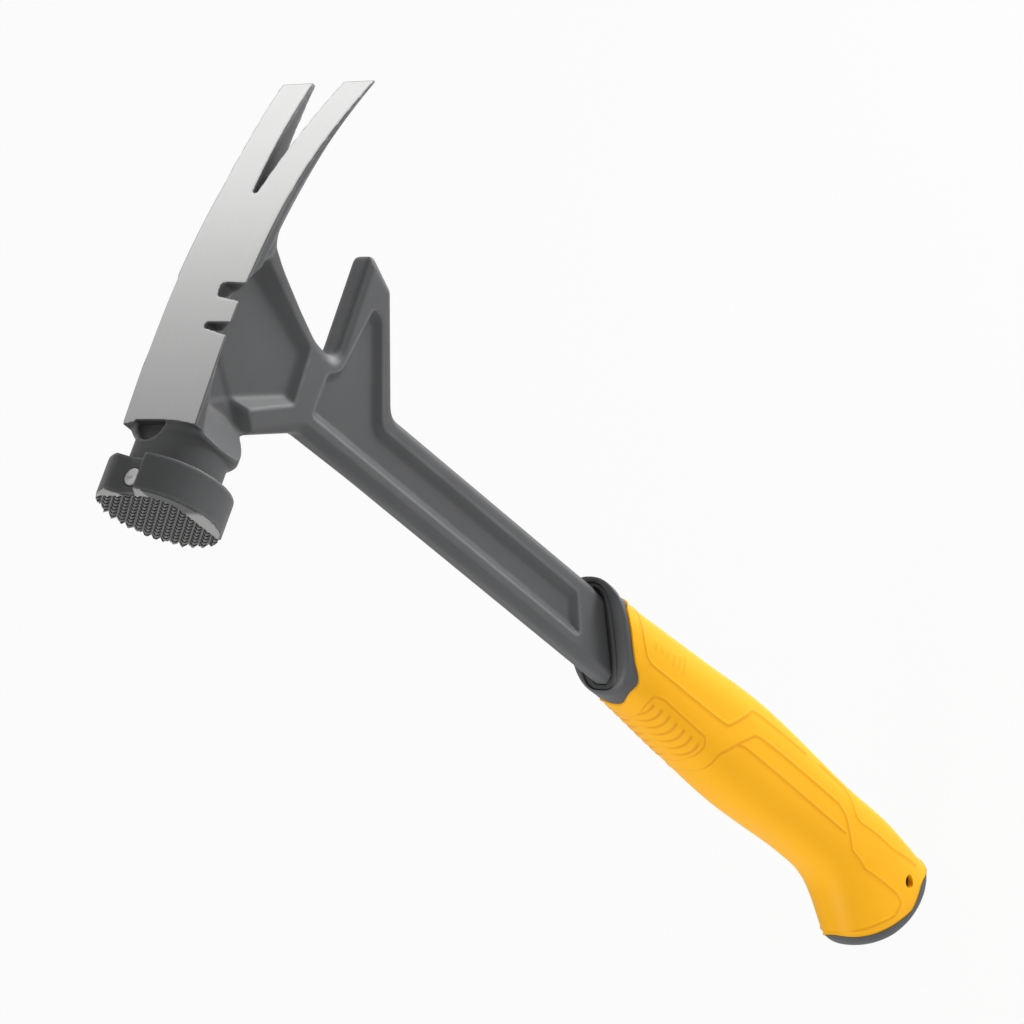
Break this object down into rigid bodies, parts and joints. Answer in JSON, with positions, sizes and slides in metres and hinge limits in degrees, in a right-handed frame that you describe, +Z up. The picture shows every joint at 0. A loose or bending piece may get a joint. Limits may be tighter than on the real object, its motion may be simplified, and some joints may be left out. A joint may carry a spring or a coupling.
{
  "type": "demolition claw hammer",
  "caption": "Forged demolition claw hammer with a milled strike face, straight claw, nail-puller notches, a board-gripping jaw on the shank and a soft moulded grip.",
  "frame": {"origin": "middle of the bounding box in X and Y, at the lowest point of the butt", "axes": "+Z up the handle to the head, +X to the claw, the strike face to -X, the puller notches open to -Y"},
  "size_m": [0.149, 0.0384, 0.4144],
  "materials": {
    "forged_steel": "dark grey satin paint, with the strap, the claw's top and the face's lands ground bare",
    "magnet": "plated, satin",
    "core_plastic": "black, moulded",
    "grey_rubber": "dark grey, fine matt grain",
    "yellow_rubber": "yellow, soft, fine matt grain"
  },
  "bodies": {
    "root": {"forged_hammer": "forged_steel", "nail_magnet": "magnet", "grip_core": "core_plastic", "front_collar": "grey_rubber", "grip_skin": "yellow_rubber", "butt_cap": "grey_rubber", "lanyard_bush": "core_plastic"}
  },
  "joints": []
}
